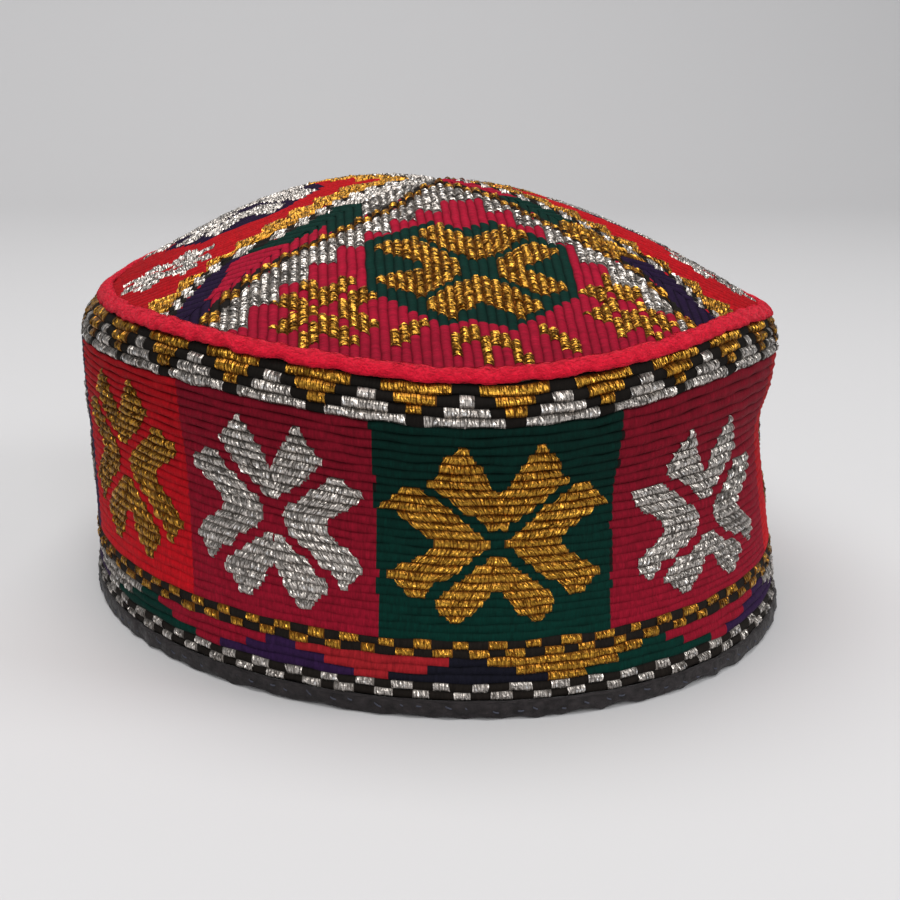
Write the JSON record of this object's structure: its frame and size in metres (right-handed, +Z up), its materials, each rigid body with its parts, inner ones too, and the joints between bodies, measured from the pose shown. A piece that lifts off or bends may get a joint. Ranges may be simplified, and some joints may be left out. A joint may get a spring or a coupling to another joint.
{
  "type": "tubeteika skullcap",
  "caption": "Low round skullcap of corded embroidery: ribbed side band, domed crown of ribbed gores, red welt round the rim and a black folded braid at the hem.",
  "frame": {"origin": "middle of the cap's plan, on the surface that the hem stands on", "axes": "+Z up through the crown, -Y towards the front of the cap, +X towards its right as seen from the front"},
  "size_m": [0.1882, 0.1868, 0.1089],
  "materials": {
    "band_embroidery": "corded satin-stitch embroidery, matte thread with glittering gold and silver motifs",
    "crown_embroidery": "corded satin-stitch embroidery, matte thread with glittering gold and silver motifs",
    "welt_wool": "soft napped wool roll, matte",
    "hem_braid": "woven braid, matte brownish black"
  },
  "bodies": {
    "root": {"side_band": "band_embroidery", "crown_gore_front": "crown_embroidery", "crown_gore_right": "crown_embroidery", "crown_gore_back": "crown_embroidery", "crown_gore_left": "crown_embroidery", "crown_piping": "welt_wool", "hem_binding": "hem_braid"}
  },
  "joints": []
}
